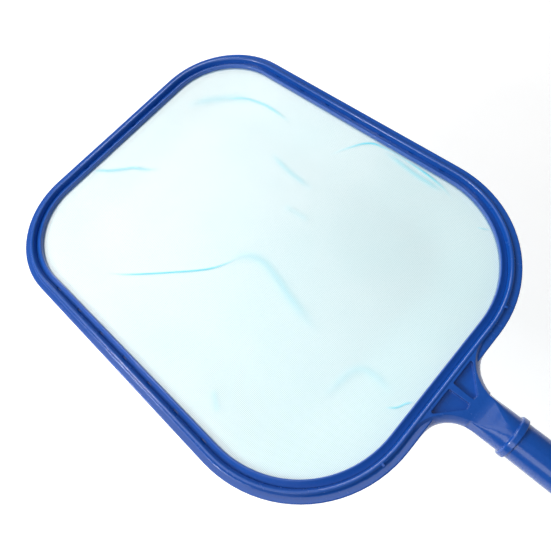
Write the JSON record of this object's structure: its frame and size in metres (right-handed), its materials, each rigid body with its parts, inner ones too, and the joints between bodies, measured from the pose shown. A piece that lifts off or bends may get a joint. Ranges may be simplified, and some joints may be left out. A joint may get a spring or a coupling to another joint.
{
  "type": "leaf skimmer net",
  "caption": "Flat leaf skimmer net head: a rounded rectangular blue rim with a fine white mesh, and a neck with a round stem and spring clip that plugs into a pole.",
  "frame": {"origin": "on the stem's axis, at the shoulder of the collar that stops the pole", "axes": "+X along the handle axis towards the frame's far edge, +Z out of the face that leaves are scooped with"},
  "size_m": [0.548, 0.316, 0.032],
  "materials": {
    "frame_plastic": "moulded blue polypropylene, satin gloss",
    "ring_plastic": "moulded blue polypropylene, slightly duller, with a fine regular texture",
    "net_fabric": "fine white nylon mesh with a faint cyan tint in its folds",
    "clip_steel": "rolled stainless spring strip",
    "button_plastic": "white acetal"
  },
  "bodies": {
    "head": {"frame_moulding": "frame_plastic", "retaining_ring": "ring_plastic", "net_mesh": "net_fabric", "clip_bow": "clip_steel"},
    "left_leg": {"clip_leg_left": "clip_steel", "clip_button_left": "button_plastic"},
    "right_leg": {"clip_leg_right": "clip_steel", "clip_button_right": "button_plastic"}
  },
  "joints": [
    {"name": "clip_left_flex", "type": "hinge", "parent": "head", "child": "left_leg", "pos_m": [-0.01215, 0.0096, 0], "axis": [0, 0, 1], "range_deg": [0, 6], "stiffness_Nm_per_rad": 1.5, "springref_deg": -2.86},
    {"name": "clip_right_flex", "type": "hinge", "parent": "head", "child": "right_leg", "pos_m": [-0.01215, -0.0096, 0], "axis": [0, 0, -1], "range_deg": [0, 6], "stiffness_Nm_per_rad": 1.5, "springref_deg": -2.86}
  ]
}
